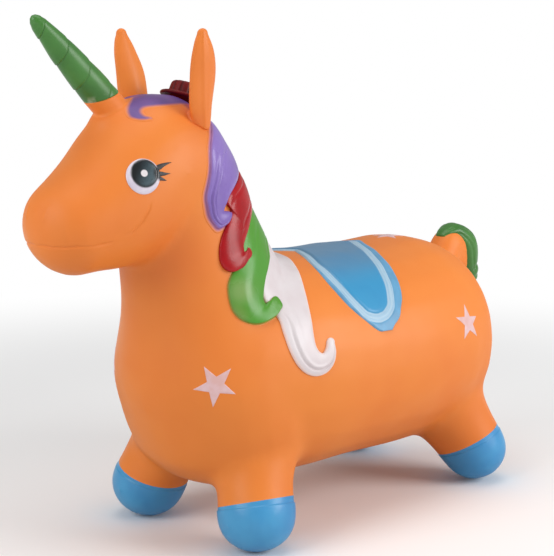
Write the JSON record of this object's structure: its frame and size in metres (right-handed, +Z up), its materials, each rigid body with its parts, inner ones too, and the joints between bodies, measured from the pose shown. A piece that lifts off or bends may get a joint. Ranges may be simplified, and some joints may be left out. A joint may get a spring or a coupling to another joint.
{
  "type": "bouncy ride-on animal",
  "caption": "Blown vinyl ride-on animal with a grooved horn, grip ears, raised curling mane, saddle and four short hooved legs; a ribbed valve plug pulls out of its belly.",
  "frame": {"origin": "on the floor, under the middle of the bounding box", "axes": "-X is the way the animal faces, -Y its left side, +Z up; it is symmetric about y = 0 and its length runs along X"},
  "size_m": [0.6057, 0.2382, 0.485],
  "materials": {
    "vinyl_orange": "smooth matte vinyl",
    "hoof_blue": "satin sprayed vinyl",
    "horn_green": "satin sprayed vinyl",
    "lock_purple": "glossy sprayed vinyl",
    "lock_red": "glossy sprayed vinyl",
    "lock_green": "glossy sprayed vinyl",
    "lock_white": "glossy sprayed vinyl",
    "hat_red": "satin sprayed vinyl",
    "stripe_blue": "satin sprayed vinyl",
    "eye_white": "printed, satin",
    "eye_dark": "printed, satin"
  },
  "bodies": {
    "animal": {"body_shell": "vinyl_orange", "ear_left": "vinyl_orange", "ear_right": "vinyl_orange", "hoof_front_left": "hoof_blue", "hoof_front_right": "hoof_blue", "hoof_rear_left": "hoof_blue", "hoof_rear_right": "hoof_blue", "horn": "horn_green", "tail_tuft": "horn_green", "mane_purple": "lock_purple", "forelock": "lock_purple", "mane_red": "lock_red", "mane_green": "lock_green", "mane_white": "lock_white", "hat": "hat_red", "saddle": "hoof_blue", "saddle_stripe": "stripe_blue", "eye_left": "eye_white", "eye_right": "eye_white", "iris_left": "eye_dark", "iris_right": "eye_dark"},
    "plug": {"valve_plug": "vinyl_orange"}
  },
  "joints": [
    {"name": "plug_pull", "type": "slide", "parent": "animal", "child": "plug", "axis": [0, 0, -1], "range_m": [0, 0.03]}
  ]
}
